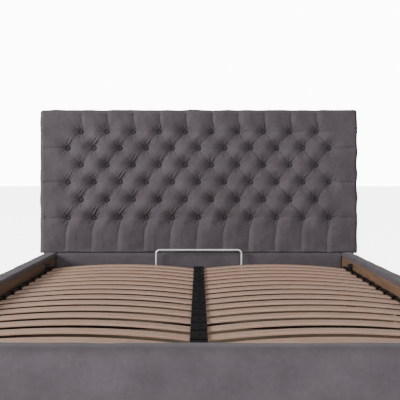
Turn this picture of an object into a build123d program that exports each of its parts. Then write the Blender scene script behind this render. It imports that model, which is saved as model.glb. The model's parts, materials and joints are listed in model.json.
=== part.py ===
from build123d import *
import math
import os

os.makedirs("parts", exist_ok=True)

# Millimetres. +Z is up, the headboard stands at +Y and the foot rail at -Y.
# The origin is on the floor under the middle of the bed.

# Overall sizes
WIDTH = 1800.0
HEIGHT = 1150.0
RAIL_TOP = 340.0
RAIL_THICK = 88.0
FOOT_GAP = 42.0
HEAD_REAR = 1131.5
FOOT_FRONT = -HEAD_REAR

# Headboard build-up, front to back
FOAM = 60.0
PANEL = 10.0
TIMBER = 39.0
BACK_CLOTH = 1.0
SKIN = 3.0
HALF = WIDTH / 2
TIMBER_REAR = HEAD_REAR - BACK_CLOTH
PANEL_REAR = TIMBER_REAR - TIMBER
PANEL_FRONT = PANEL_REAR - PANEL
CROWN = PANEL_FRONT - FOAM
TUFT_BOTTOM = RAIL_TOP + 0.3

# Diamond tufting
BUTTON_PITCH = 150.0
BUTTON_RADIUS = 9.0
BUTTON_FRONT = CROWN + 31.0
BUTTON_THICK = 8.5
BUTTON_POCKET = 15.0
TIE_RADIUS = 1.2
KNOT_RADIUS = 8.0
FIRST_ROW_DROP = 117.0
ROW_STEP = 93.5
ROW_GROWTH = 1.1
ROWS = 6

# Inner sizes and rails
INNER_HALF = HALF - RAIL_THICK
BOARD = 18.0
PAD = 24.0
LIP = 3.0
LIP_DROP = 14.0
BOARD_TOP = RAIL_TOP - LIP_DROP
CORE_TOP = RAIL_TOP - PAD
BATTEN = 40.0
RAIL_POSTS = 6
HEAD_RAIL_DEPTH = 80.0
HEAD_RAIL_BOARD = 20.0
HEAD_RAIL_FRONT = PANEL_FRONT - HEAD_RAIL_DEPTH
INNER_LENGTH = 2045.0
FOOT_INNER = HEAD_RAIL_FRONT - INNER_LENGTH
CLEAR = 0.3

# Slat frame of square steel tube
TUBE = 30.0
WALL = 1.5
TUBE_TOP = 262.0
TUBE_BOTTOM = TUBE_TOP - TUBE
FRAME_HALF = 795.0
HEAD_TUBE_GAP = 40.0
FOOT_TUBE_GAP = 12.0
FRAME_HEAD = HEAD_RAIL_FRONT - HEAD_TUBE_GAP
FRAME_FOOT = FOOT_INNER + FOOT_TUBE_GAP
BEAM_WIDTH = 40.0
CROSS_TUBE = 20.0
PLUG = 3.0

# Sprung slats
SLATS = 16
SLAT_PITCH = 118.0
FIRST_SLAT = 190.0
SLAT_WIDTH = 53.0
SLAT_THICK = 8.0
SLAT_EDGE = 2.0
SLAT_END = 267.5
SLAT_RISE = 24.5
SLAT_IN = 12.0
SLAT_OUT = 795.0
CAP_OUTER = (785.0, 803.0)
CENTER_CAP_HALF = 27.0
CAP_TOP = 286.0
CAP_LENGTH = 88.0
STUD_RADIUS = 8.0
STUD_RISE = 3.0

# Mattress retainer
ROD = 5.0
RETAINER_HALF = 240.0
RETAINER_LOW = 237.0
RETAINER_TOP = 363.0
RETAINER_BEND = 22.0
RETAINER_PLATE = 3.0

# Lift hinge and gas spring, distances from the front of the head rail
HINGE_Y = HEAD_RAIL_FRONT - 249.0
HINGE_Z = 300.0
STRUT_LOW = (HEAD_RAIL_FRONT - 290.0, 96.3)
STRUT_HIGH = (HEAD_RAIL_FRONT - 439.7, 214.0)
PLATE_THICK = 5.0
TAB_HALF = 14.0
ARM_HALF = 13.0
PIN = 6.0
COLLAR = 10.0
BOLT_HEAD = 2.5
PLATE_IN = INNER_HALF - CLEAR - PLATE_THICK
ARM = (795.0, 799.0)
STRUT_PLANE = 779.0
EYE_HALF = 6.0
CYLINDER_RADIUS = 10.0
ROD_RADIUS = 4.0


def box(x, y, z, mode=Mode.ADD):
    """A block between pairs of X, Y and Z limits."""
    size = [abs(b - a) for a, b in (x, y, z)]
    with Locations([(sum(x) / 2, sum(y) / 2, sum(z) / 2)]):
        Box(*size, mode=mode)


def mirrored(side, limits):
    """X limits on the left (-1) or right (+1) side of the bed."""
    return tuple(sorted(side * v for v in limits))


def rod_x(x, y, z, radius, mode=Mode.ADD):
    """A round bar along X between two X limits."""
    with Locations([Location(((x[0] + x[1]) / 2, y, z), (0, 90, 0))]):
        Cylinder(radius, abs(x[1] - x[0]), mode=mode)


def rod_y(x, y, z, radius, mode=Mode.ADD):
    """A round bar along Y between two Y limits."""
    with Locations([Location((x, (y[0] + y[1]) / 2, z), (90, 0, 0))]):
        Cylinder(radius, abs(y[1] - y[0]), mode=mode)


def rod_z(x, y, z, radius):
    """A round bar along Z between two Z limits."""
    with Locations([(x, y, (z[0] + z[1]) / 2)]):
        Cylinder(radius, abs(z[1] - z[0]))


def save(piece, label):
    """Names a finished piece and writes its STEP file."""
    piece.part.label = label
    export_step(piece.part, f"parts/{label}.step")


def button_places():
    """(x, z) of every tufting button, in rows that sit half a pitch apart."""
    places = []
    for row in range(ROWS):
        drop = FIRST_ROW_DROP + ROW_STEP * row + ROW_GROWTH * row * row
        count = 10 if row % 2 == 0 else 11
        for i in range(count):
            x = (i - (count - 1) / 2) * BUTTON_PITCH
            places.append((x, HEIGHT - drop))
    return places


def slat_places():
    """Y of every slat's middle, from the head end."""
    return [HEAD_RAIL_FRONT - FIRST_SLAT - SLAT_PITCH * i for i in range(SLATS)]


def square_tube_y(x, y):
    """A hollow side tube along Y, open at both ends."""
    box(x, y, (TUBE_BOTTOM, TUBE_TOP))
    inside = (x[0] + WALL, x[1] - WALL)
    box(inside, y, (TUBE_BOTTOM + WALL, TUBE_TOP - WALL), Mode.SUBTRACT)


def square_tube_x(x, y):
    """A hollow cross tube along X, open at both ends."""
    box(x, y, (TUBE_BOTTOM, TUBE_TOP))
    inside = (y[0] + WALL, y[1] - WALL)
    box(x, inside, (TUBE_BOTTOM + WALL, TUBE_TOP - WALL), Mode.SUBTRACT)


def slat_blank(side, grow):
    """One bowed slat centred on Y = 0, grown all round by a small clearance."""
    half = (SLAT_OUT - SLAT_IN) / 2
    radius = (half * half + SLAT_RISE * SLAT_RISE) / (2 * SLAT_RISE)
    middle = side * (SLAT_IN + SLAT_OUT) / 2
    center = SLAT_END + SLAT_RISE - radius
    sweep_half = math.degrees(math.asin((half + grow) / radius))
    bend = Axis((middle, 0, center), (0, 1, 0))
    with BuildPart() as blank:
        with BuildSketch(Plane(origin=(middle, 0, 0), x_dir=(0, 1, 0), z_dir=(1, 0, 0))):
            with Locations([(0, center + radius + SLAT_THICK / 2)]):
                RectangleRounded(
                    SLAT_WIDTH + 2 * grow, SLAT_THICK + 2 * grow, SLAT_EDGE + grow
                )
        revolve(axis=bend, revolution_arc=2 * sweep_half)
    return blank.part.rotate(bend, -sweep_half)


def battens(x, y):
    """Top and bottom battens of a rail, with the height left for its posts."""
    box(x, y, (CORE_TOP - BATTEN, CORE_TOP))
    box(x, y, (FOOT_GAP, FOOT_GAP + BATTEN))
    return FOOT_GAP + BATTEN + CLEAR, CORE_TOP - BATTEN - CLEAR


def top_edge(piece, side, inner):
    """The inner or outer of the long top edges of a side rail's pad."""
    top = piece.edges().filter_by(Axis.Y).group_by(Axis.Z)[-1]
    return top.sort_by(Axis.X)[0 if (side > 0) == inner else -1]


# Headboard
with BuildPart() as headboard_frame:
    back = (PANEL_REAR, TIMBER_REAR)
    for side in (-1, 1):
        box(mirrored(side, (850, HALF - SKIN)), back, (30, HEIGHT - SKIN))
        for z in ((60, 110), (290, 335), (575, 612), (775, 812), (1085, HEIGHT - SKIN)):
            box(mirrored(side, (0.2, 850 - CLEAR)), back, z)
        for z in ((335, 575), (612, 775), (812, 1085)):
            box(mirrored(side, (242, 283)), back, (z[0] + CLEAR, z[1] - CLEAR))
save(headboard_frame, "headboard_frame")

with BuildPart() as headboard_panel:
    box((-HALF + SKIN, HALF - SKIN), (PANEL_FRONT, PANEL_REAR), (60, HEIGHT - SKIN))
    for x, z in button_places():
        rod_y(x, (PANEL_FRONT, PANEL_REAR), z, 3.0, Mode.SUBTRACT)
save(headboard_panel, "headboard_panel")

with BuildPart() as headboard_pad:
    box((-HALF, HALF), (CROWN, PANEL_FRONT), (TUFT_BOTTOM, HEIGHT))
    fillet(headboard_pad.faces().sort_by(Axis.Y)[0].edges(), 24.0)
    for side in (-1, 1):
        skin = mirrored(side, (HALF - SKIN, HALF))
        box(skin, (PANEL_FRONT, TIMBER_REAR), (60, HEIGHT))
    box((-HALF, HALF), (PANEL_FRONT, TIMBER_REAR), (HEIGHT - SKIN, HEIGHT))
    for x, z in button_places():
        rod_y(x, (CROWN, PANEL_FRONT), z, BUTTON_POCKET, Mode.SUBTRACT)
save(headboard_pad, "headboard_pad")

with BuildPart() as headboard_buttons:
    for x, z in button_places():
        rod_y(x, (BUTTON_FRONT, BUTTON_FRONT + BUTTON_THICK), z, BUTTON_RADIUS)
    rims = headboard_buttons.edges().filter_by(GeomType.CIRCLE)
    front = rims.filter_by_position(Axis.Y, BUTTON_FRONT - 1, BUTTON_FRONT + 1)
    fillet(front, 5.0)
save(headboard_buttons, "headboard_buttons")

with BuildPart() as button_ties:
    for x, z in button_places():
        rod_y(x, (BUTTON_FRONT + BUTTON_THICK, PANEL_REAR), z, TIE_RADIUS)
        rod_y(x, (PANEL_REAR, PANEL_REAR + 2.4), z, KNOT_RADIUS)
save(button_ties, "button_ties")

with BuildPart() as headboard_back_cover:
    box((-HALF + 6, HALF - 6), (TIMBER_REAR, HEAD_REAR), (60, HEIGHT - 6))
save(headboard_back_cover, "headboard_back_cover")

with BuildPart() as headboard_feet:
    for x in (-872, 872):
        rod_z(x, (PANEL_REAR + TIMBER_REAR) / 2, (0, 30), 17)
    chamfer(headboard_feet.faces().sort_by(Axis.Z)[0:2].edges(), 3)
save(headboard_feet, "headboard_feet")

# Head rail between the side rails
with BuildPart() as head_rail_board:
    depth = (PANEL_FRONT - HEAD_RAIL_BOARD, PANEL_FRONT)
    box((-INNER_HALF + LIP, INNER_HALF - LIP), depth, (60, BOARD_TOP))
save(head_rail_board, "head_rail_board")

with BuildPart() as head_rail_pad:
    span = (-INNER_HALF + LIP + CLEAR, INNER_HALF - LIP - CLEAR)
    box(span, (HEAD_RAIL_FRONT, PANEL_FRONT), (FOOT_GAP, RAIL_TOP))
    hollow = (PANEL_FRONT - HEAD_RAIL_BOARD, PANEL_FRONT)
    box(span, hollow, (FOOT_GAP, BOARD_TOP), Mode.SUBTRACT)
    top = head_rail_pad.edges().filter_by(Axis.X).group_by(Axis.Z)[-1]
    fillet(top.sort_by(Axis.Y)[0], 16.0)
save(head_rail_pad, "head_rail_pad")

# Side rails: bare inner board, batten core and padded outside
for name, side in (("left", -1), ("right", 1)):
    length = (FOOT_INNER, PANEL_FRONT)
    with BuildPart() as rail_board:
        board = mirrored(side, (INNER_HALF, INNER_HALF + BOARD))
        box(board, length, (FOOT_GAP, BOARD_TOP))
    save(rail_board, f"{name}_rail_board")

    with BuildPart() as rail_core:
        core = mirrored(side, (INNER_HALF + BOARD, HALF - PAD))
        upright = battens(core, length)
        step = (length[1] - length[0] - BATTEN) / (RAIL_POSTS - 1)
        for i in range(RAIL_POSTS):
            y = length[0] + step * i
            box(core, (y, y + BATTEN), upright)
    save(rail_core, f"{name}_rail_core")

    with BuildPart() as rail_pad:
        box(mirrored(side, (INNER_HALF - LIP, HALF)), length, (FOOT_GAP, RAIL_TOP))
        fillet(top_edge(rail_pad, side, True), 10.0)
        fillet(top_edge(rail_pad, side, False), 32.0)
        box(mirrored(side, (INNER_HALF - LIP - 1, INNER_HALF + BOARD)), length,
            (FOOT_GAP, BOARD_TOP), Mode.SUBTRACT)
        box(mirrored(side, (INNER_HALF + BOARD, HALF - PAD)), length,
            (FOOT_GAP, CORE_TOP), Mode.SUBTRACT)
    save(rail_pad, f"{name}_rail_pad")

# Foot rail across the full width
FOOT_BOARD = (FOOT_INNER - BOARD, FOOT_INNER)
FOOT_CORE = (FOOT_FRONT + PAD, FOOT_INNER - BOARD)
CORE_HALF = HALF - PAD

with BuildPart() as foot_rail_board:
    box((-CORE_HALF, CORE_HALF), FOOT_BOARD, (FOOT_GAP, BOARD_TOP))
save(foot_rail_board, "foot_rail_board")

with BuildPart() as foot_rail_core:
    upright = battens((-CORE_HALF, CORE_HALF), FOOT_CORE)
    for i in range(RAIL_POSTS - 1):
        x = -CORE_HALF + (2 * CORE_HALF - BATTEN) / (RAIL_POSTS - 2) * i
        box((x, x + BATTEN), FOOT_CORE, upright)
save(foot_rail_core, "foot_rail_core")

with BuildPart() as foot_rail_pad:
    box((-HALF, HALF), (FOOT_FRONT, FOOT_INNER), (FOOT_GAP, RAIL_TOP))
    outer = foot_rail_pad.edges().filter_by(Axis.Z).sort_by(Axis.Y)[0:2]
    fillet(outer, 26.0)
    rim = foot_rail_pad.faces().sort_by(Axis.Z)[-1].edges()
    fillet(rim.sort_by(Axis.Y)[0:-1], 20.0)
    span = (-CORE_HALF, CORE_HALF)
    box(span, FOOT_BOARD, (FOOT_GAP, BOARD_TOP), Mode.SUBTRACT)
    box(span, FOOT_CORE, (FOOT_GAP, CORE_TOP), Mode.SUBTRACT)
    lip = INNER_HALF - LIP - CLEAR
    box((-lip, lip), (FOOT_INNER, FOOT_INNER + LIP), (BOARD_TOP, RAIL_TOP - 6))
save(foot_rail_pad, "foot_rail_pad")

# Corner irons at the foot end
with BuildPart() as corner_brackets:
    for side in (-1, 1):
        iron = (FOOT_INNER, FOOT_INNER + 45)
        box(mirrored(side, (INNER_HALF - LIP, INNER_HALF)), iron, (120, 300))
        box(mirrored(side, (INNER_HALF - 48, INNER_HALF - LIP)),
            (FOOT_INNER, FOOT_INNER + LIP), (120, 300))
save(corner_brackets, "corner_brackets")

with BuildPart() as corner_bolts:
    for side in (-1, 1):
        for z in (150, 210, 270):
            face = INNER_HALF - LIP
            rod_x(mirrored(side, (face - 4, face)), FOOT_INNER + 28, z, 7)
            rod_y(side * (INNER_HALF - 30), (FOOT_INNER + LIP, FOOT_INNER + LIP + 4), z, 7)
save(corner_bolts, "corner_bolts")

# Feet, storage floor and the blocks that the slat frame rests on
with BuildPart() as bed_feet:
    for x in (-850, 850):
        for y in (-1084, 0, 1040):
            rod_z(x, y, (0, FOOT_GAP), 25)
    for y in (-600, 0, 600):
        rod_z(0, y, (0, 20), 20)
    chamfer(bed_feet.faces().filter_by(Plane.XY).group_by(Axis.Z)[0].edges(), 3)
save(bed_feet, "bed_feet")

with BuildPart() as floor_battens:
    for y in (-600, 0, 600):
        box((-INNER_HALF + CLEAR, INNER_HALF - CLEAR), (y - 35, y + 35), (20, 46))
save(floor_battens, "floor_battens")

for name, side in (("left", -1), ("right", 1)):
    with BuildPart() as storage_floor:
        half = mirrored(side, (0.5, INNER_HALF - CLEAR))
        box(half, (FOOT_INNER + CLEAR, HEAD_RAIL_FRONT - CLEAR), (46, 58))
    save(storage_floor, f"storage_floor_{name}")

with BuildPart() as frame_rest_blocks:
    for side in (-1, 1):
        for y in (-920, -160):
            box(mirrored(side, (772, INNER_HALF)), (y - 35, y + 35),
                (190, TUBE_BOTTOM - CLEAR))
    chamfer(frame_rest_blocks.faces().filter_by(Plane.XY).group_by(Axis.Z)[0].edges(), 4)
save(frame_rest_blocks, "frame_rest_blocks")

# Fixed half of the lift hinges
for name, side in (("left", -1), ("right", 1)):
    with BuildPart() as rail_plate:
        plate = mirrored(side, (PLATE_IN, INNER_HALF))
        box(plate, (HINGE_Y - 72, HINGE_Y + 30), (70, TUBE_TOP))
        chamfer(rail_plate.edges().filter_by(Axis.X), 12)
        box(plate, (HINGE_Y - TAB_HALF, HINGE_Y + TAB_HALF), (TUBE_TOP, HINGE_Z))
        rod_x(plate, HINGE_Y, HINGE_Z, TAB_HALF)
        rod_x(mirrored(side, (ARM[1] + CLEAR, PLATE_IN)), HINGE_Y, HINGE_Z, COLLAR)
        rod_x(mirrored(side, (789, PLATE_IN)), HINGE_Y, HINGE_Z, PIN)
        rod_x(mirrored(side, (789, ARM[0] - CLEAR)), HINGE_Y, HINGE_Z, COLLAR)
        low = STRUT_PLANE - EYE_HALF
        high = STRUT_PLANE + EYE_HALF
        rod_x(mirrored(side, (high + CLEAR, PLATE_IN)), *STRUT_LOW, 7)
        rod_x(mirrored(side, (low - 4, PLATE_IN)), *STRUT_LOW, 4)
        rod_x(mirrored(side, (low - 4, low - CLEAR)), *STRUT_LOW, 7)
    save(rail_plate, f"{name}_rail_plate")

with BuildPart() as plate_bolts:
    for side in (-1, 1):
        for y in (HINGE_Y - 54, HINGE_Y + 12):
            for z in (130, 180, 230):
                rod_x(mirrored(side, (PLATE_IN - BOLT_HEAD, PLATE_IN)), y, z, 8)
save(plate_bolts, "plate_bolts")

# Slat frame tubes
for name, side in (("left", -1), ("right", 1)):
    with BuildPart() as side_tube:
        square_tube_y(mirrored(side, (FRAME_HALF - TUBE, FRAME_HALF)),
                      (FRAME_FOOT, FRAME_HEAD))
    save(side_tube, f"{name}_side_tube")

with BuildPart() as head_tube:
    span = (-FRAME_HALF + TUBE, FRAME_HALF - TUBE)
    square_tube_x(span, (FRAME_HEAD - TUBE, FRAME_HEAD))
save(head_tube, "head_tube")

with BuildPart() as foot_tube:
    square_tube_x(span, (FRAME_FOOT, FRAME_FOOT + TUBE))
save(foot_tube, "foot_tube")

with BuildPart() as center_beam:
    square_tube_y((-BEAM_WIDTH / 2, BEAM_WIDTH / 2),
                  (FRAME_FOOT + TUBE, FRAME_HEAD - TUBE))
save(center_beam, "center_beam")

with BuildPart() as cross_tubes:
    for y in (slat_places()[4] - SLAT_PITCH / 2, slat_places()[10] - SLAT_PITCH / 2):
        for side in (-1, 1):
            cross = mirrored(side, (BEAM_WIDTH / 2, FRAME_HALF - TUBE))
            box(cross, (y - CROSS_TUBE / 2, y + CROSS_TUBE / 2),
                (TUBE_BOTTOM + 4, TUBE_BOTTOM + 4 + CROSS_TUBE))
save(cross_tubes, "cross_tubes")

with BuildPart() as tube_plugs:
    for side in (-1, 1):
        plug = mirrored(side, (FRAME_HALF - TUBE, FRAME_HALF))
        box(plug, (FRAME_HEAD, FRAME_HEAD + PLUG), (TUBE_BOTTOM, TUBE_TOP))
        box(plug, (FRAME_FOOT - PLUG, FRAME_FOOT), (TUBE_BOTTOM, TUBE_TOP))
save(tube_plugs, "tube_plugs")

# Slats and their caps
SPREAD = [(0, y, 0) for y in slat_places()]
for name, side in (("left", -1), ("right", 1)):
    with BuildPart() as slats:
        with Locations(SPREAD):
            add(slat_blank(side, 0))
    save(slats, f"slats_{name}")

    with BuildPart() as slat_caps:
        with BuildPart(mode=Mode.PRIVATE) as cap:
            box(mirrored(side, CAP_OUTER), (-CAP_LENGTH / 2, CAP_LENGTH / 2),
                (TUBE_TOP, CAP_TOP))
            fillet(cap.faces().sort_by(Axis.Z)[-1].edges(), 3.5)
            add(slat_blank(side, CLEAR), mode=Mode.SUBTRACT)
        with Locations(SPREAD):
            add(cap.part)
    save(slat_caps, f"slat_caps_{name}")

with BuildPart() as slat_caps_center:
    with BuildPart(mode=Mode.PRIVATE) as cap:
        box((-CENTER_CAP_HALF, CENTER_CAP_HALF), (-CAP_LENGTH / 2, CAP_LENGTH / 2),
            (TUBE_TOP, CAP_TOP))
        fillet(cap.faces().sort_by(Axis.Z)[-1].edges(), 3.5)
        for side in (-1, 1):
            add(slat_blank(side, CLEAR), mode=Mode.SUBTRACT)
        rod_z(0, 0, (TUBE_TOP + 1, CAP_TOP + STUD_RISE), STUD_RADIUS)
        fillet(cap.faces().sort_by(Axis.Z)[-1].edges(), 2.0)
    with Locations(SPREAD):
        add(cap.part)
save(slat_caps_center, "slat_caps_center")

# Mattress retainer on the head tube
RETAINER_Y = FRAME_HEAD + RETAINER_PLATE + ROD
with BuildPart() as mattress_retainer:
    with BuildLine() as bar:
        points = [(-RETAINER_HALF, RETAINER_Y, RETAINER_LOW),
                  (-RETAINER_HALF, RETAINER_Y, RETAINER_TOP),
                  (RETAINER_HALF, RETAINER_Y, RETAINER_TOP),
                  (RETAINER_HALF, RETAINER_Y, RETAINER_LOW)]
        FilletPolyline(*points, radius=RETAINER_BEND)
    with BuildSketch(Plane(origin=points[0], z_dir=(0, 0, 1))):
        Circle(ROD)
    sweep(path=bar.wire())
    for side in (-1, 1):
        x = side * RETAINER_HALF
        box((x - 24, x + 24), (FRAME_HEAD, FRAME_HEAD + RETAINER_PLATE + 0.6),
            (TUBE_BOTTOM + 3, TUBE_TOP - 3))
save(mattress_retainer, "mattress_retainer")

with BuildPart() as retainer_bolts:
    for side in (-1, 1):
        for shift in (-15, 15):
            depth = (FRAME_HEAD + RETAINER_PLATE + 0.6, FRAME_HEAD + RETAINER_PLATE + 5)
            rod_y(side * RETAINER_HALF + shift, depth, (TUBE_TOP + TUBE_BOTTOM) / 2, 5.5)
save(retainer_bolts, "retainer_bolts")

# Moving half of the lift hinges
for name, side in (("left", -1), ("right", 1)):
    with BuildPart() as pivot_arm:
        arm = mirrored(side, ARM)
        box(arm, (HINGE_Y - ARM_HALF, HINGE_Y + ARM_HALF), (TUBE_BOTTOM + 2, HINGE_Z))
        rod_x(arm, HINGE_Y, HINGE_Z, ARM_HALF)
        box(arm, (HINGE_Y - 150, HINGE_Y + ARM_HALF), (TUBE_BOTTOM + 2, TUBE_TOP - 2))
        rod_x(arm, HINGE_Y, HINGE_Z, PIN + 0.4, Mode.SUBTRACT)
    save(pivot_arm, f"{name}_pivot_arm")

with BuildPart() as arm_bolts:
    for side in (-1, 1):
        for shift in (0, -60, -125):
            rod_x(mirrored(side, (ARM[1], ARM[1] + BOLT_HEAD)), HINGE_Y + shift, 247, 7)
save(arm_bolts, "arm_bolts")

with BuildPart() as strut_brackets:
    for side in (-1, 1):
        lug = mirrored(side, (STRUT_PLANE + 12, FRAME_HALF))
        y, z = STRUT_HIGH
        low = STRUT_PLANE - EYE_HALF
        box(lug, (y - 22, y + 22), (z, TUBE_BOTTOM))
        rod_x(lug, y, z, 14)
        rod_x(mirrored(side, (STRUT_PLANE + EYE_HALF + CLEAR, STRUT_PLANE + 12)), y, z, 9)
        rod_x(mirrored(side, (low - 4, STRUT_PLANE + 12)), y, z, 4)
        rod_x(mirrored(side, (low - 4, low - CLEAR)), y, z, 9)
save(strut_brackets, "strut_brackets")

# Gas springs, built along their own axis
reach = (STRUT_HIGH[0] - STRUT_LOW[0], STRUT_HIGH[1] - STRUT_LOW[1])
CLOSED = math.hypot(*reach)
for name, side in (("left", -1), ("right", 1)):
    strut = Plane(
        origin=(side * STRUT_PLANE, *STRUT_LOW), x_dir=(1, 0, 0), z_dir=(0, *reach)
    )
    eye = mirrored(side, (STRUT_PLANE - EYE_HALF, STRUT_PLANE + EYE_HALF))
    with BuildPart() as gas_cylinder:
        for radius, a, b in ((5, 6, 18), (CYLINDER_RADIUS, 16, 160)):
            with BuildSketch(strut.offset(a)):
                Circle(radius)
            extrude(amount=b - a)
        for radius, a, b in ((8.6, 19, 152), (4.3, 150, 161)):
            with BuildSketch(strut.offset(a)):
                Circle(radius)
            extrude(amount=b - a, mode=Mode.SUBTRACT)
        rod_x(eye, *STRUT_LOW, 11)
        rod_x(eye, *STRUT_LOW, 4.3, Mode.SUBTRACT)
    save(gas_cylinder, f"{name}_gas_cylinder")

    with BuildPart() as gas_rod:
        for radius, a, b in ((8.2, 24, 32), (ROD_RADIUS, 30, CLOSED - 9)):
            with BuildSketch(strut.offset(a)):
                Circle(radius)
            extrude(amount=b - a)
        rod_x(eye, *STRUT_HIGH, 12)
        rod_x(eye, *STRUT_HIGH, 7.2, Mode.SUBTRACT)
    save(gas_rod, f"{name}_gas_rod")

# Pull strap on the foot tube
with BuildPart() as lift_strap:
    strap = Plane(origin=(0, FRAME_FOOT + TUBE / 2, 0), x_dir=(1, 0, 0), z_dir=(0, -1, 0))
    with BuildSketch(strap):
        with BuildLine():
            low, high = TUBE_TOP, TUBE_TOP + 26
            ThreePointArc((-88, low), (0, high), (88, low))
            Line((88, low), (112, low))
            Line((112, low), (112, low + 2.4))
            Line((112, low + 2.4), (90, low + 2.4))
            ThreePointArc((90, low + 2.4), (0, high + 2.4), (-90, low + 2.4))
            Line((-90, low + 2.4), (-112, low + 2.4))
            Line((-112, low + 2.4), (-112, low))
            Line((-112, low), (-88, low))
        make_face()
    extrude(amount=13, both=True)
save(lift_strap, "lift_strap")

with BuildPart() as strap_rivets:
    for x in (-101, 101):
        rod_z(x, FRAME_FOOT + TUBE / 2, (TUBE_TOP + 2.4, TUBE_TOP + 5), 6)
save(strap_rivets, "strap_rivets")
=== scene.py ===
"""Upholstered lift-up storage bed: covers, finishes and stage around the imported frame."""

import json
import math

import bpy
import numpy as np
from bpy.props import FloatProperty, FloatVectorProperty, IntProperty, PointerProperty
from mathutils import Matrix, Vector


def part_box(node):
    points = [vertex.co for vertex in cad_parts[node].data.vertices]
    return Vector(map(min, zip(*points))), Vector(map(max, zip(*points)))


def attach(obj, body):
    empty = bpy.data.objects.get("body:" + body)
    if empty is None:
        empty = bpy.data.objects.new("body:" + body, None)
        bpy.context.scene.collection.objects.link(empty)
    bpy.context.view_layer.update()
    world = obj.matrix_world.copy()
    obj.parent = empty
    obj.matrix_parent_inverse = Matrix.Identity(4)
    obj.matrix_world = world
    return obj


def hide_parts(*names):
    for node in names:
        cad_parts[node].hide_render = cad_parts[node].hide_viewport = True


bl_info = {
    "name": "Tufted storage bed",
    "version": (1, 0, 0),
    "blender": (4, 5, 0),
    "location": "3D View > Sidebar > Bed",
    "description": "Covers, finishes and stage for an upholstered lift-up storage bed",
    "category": "Object",
}

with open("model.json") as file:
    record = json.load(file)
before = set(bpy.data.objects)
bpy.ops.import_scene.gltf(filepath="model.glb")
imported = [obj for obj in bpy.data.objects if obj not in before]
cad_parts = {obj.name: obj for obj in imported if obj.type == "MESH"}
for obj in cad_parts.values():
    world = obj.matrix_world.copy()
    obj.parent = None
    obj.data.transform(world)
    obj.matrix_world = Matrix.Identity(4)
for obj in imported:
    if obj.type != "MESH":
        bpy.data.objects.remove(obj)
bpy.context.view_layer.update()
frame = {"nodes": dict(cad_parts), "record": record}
MM = 0.001
BASE = "bed_base"
LIFT = "slat_base"


def mm(name, text, value):
    """A length property in metres, given in millimetres."""
    return FloatProperty(name=name, description=text, default=value * MM, unit="LENGTH")


def part_of(name, text, value):
    """A plain share or ratio property."""
    return FloatProperty(name=name, description=text, default=value)


def tint(name, text, rgb):
    """A colour property."""
    return FloatVectorProperty(
        name=name, description=text, default=rgb, subtype="COLOR", size=3, min=0, max=1
    )


class TuftSettings(bpy.types.PropertyGroup):
    """Sizes of the diamond tufting."""

    pitch: mm("Button pitch", "Distance between buttons in a row", 150)
    first_drop: mm("First row", "From the top edge down to the first row", 117)
    row_step: mm("Row step", "Drop from the first row to the second", 93.5)
    row_growth: mm("Row growth", "Extra drop that builds up row by row", 1.1)
    rows: IntProperty(name="Rows", description="Rows of buttons", default=6)
    hollow: mm("Hollow", "Depth of the cover beside a button", 30)
    pit: mm("Pit", "Depth of the cover behind a button", 40)
    pit_width: mm("Pit width", "Radius of the pit that a button sits in", 14)
    cone: mm("Hollow width", "Reach of the hollow round a button", 41)
    pleat: mm("Pleat", "Depth of a diagonal pleat halfway between buttons", 8.5)
    edge_pleat: mm("Edge pleat", "Depth of an upright pleat where it reaches an edge", 12)
    side_pleat: mm("Side pleat", "Depth of a level pleat where it reaches a side", 4)
    nip: mm("Nip", "Extra depth of the narrow crease in a pleat", 3.2)
    seam: mm("Seam", "Depth of the level seams through the outer rows", 0.9)
    nip_width: mm("Nip width", "Reach of the narrow crease in a pleat", 4.5)
    broad: mm("Broad side", "Reach of a pleat's gentle side", 60)
    steep: mm("Steep side", "Reach of a pleat's steep side", 40)
    throat: mm("Throat", "How far a button's depth runs along a pleat", 26)
    lobe_broad: mm("Lobe broad side", "Reach of an upright pleat's gentle side", 115)
    lobe_steep: mm("Lobe steep side", "Reach of an upright pleat's steep side", 32)
    lobe_throat: mm("Lobe throat", "How far a button's depth runs along other pleats", 34)
    bow: mm("Bow", "How far an upright pleat bows round its button", 20)
    bow_reach: mm("Bow reach", "How far along an upright pleat its bow runs", 45)
    splay: mm("Splay", "How far a lower upright pleat drifts from its button", 15)
    bulge: mm("Bulge", "How far the foam stands out past the edges", 9)
    gather: mm("Gather", "Height of the small folds that run into a button", 1.3)
    wrinkle: mm("Wrinkle", "Height of the small folds beside the pleats", 3.6)
    wrinkle_pitch: mm("Wrinkle pitch", "Distance between the folds beside a pleat", 16.5)
    wrinkle_off: mm("Wrinkle offset", "From a pleat to the middle of its small folds", 12)
    wrinkle_reach: mm("Wrinkle reach", "Half width of the band of small folds", 22)
    spokes: IntProperty(name="Spokes", description="Small folds round a button", default=9)
    sway: mm("Sway", "How far the pleats wander off their straight lines", 2.2)
    hem: mm("Hem", "Reach of the flat band above the lower edge", 22)
    billow: mm("Billow", "Height of the broad unevenness of the cover", 1.6)
    ripple: mm("Ripple", "Height of the small unevenness of the cover", 0.7)
    lining: mm("Lining", "How far the whole cover stays under its crown", 0.8)
    edge_keep: part_of("Edge keep", "Share of the relief that is lost round the edges", 0.93)
    corner: mm("Corner", "Rounding of the cover at the sides and top", 21)
    lower: mm("Lower edge", "Rounding of the cover at its lower edge", 12)
    seam_gap: mm("Seam gap", "From the head rail's cover up to this cover", 0.3)
    turn_in: mm("Turn in", "Width of the cover's hem behind the headboard", 4.5)


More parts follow.
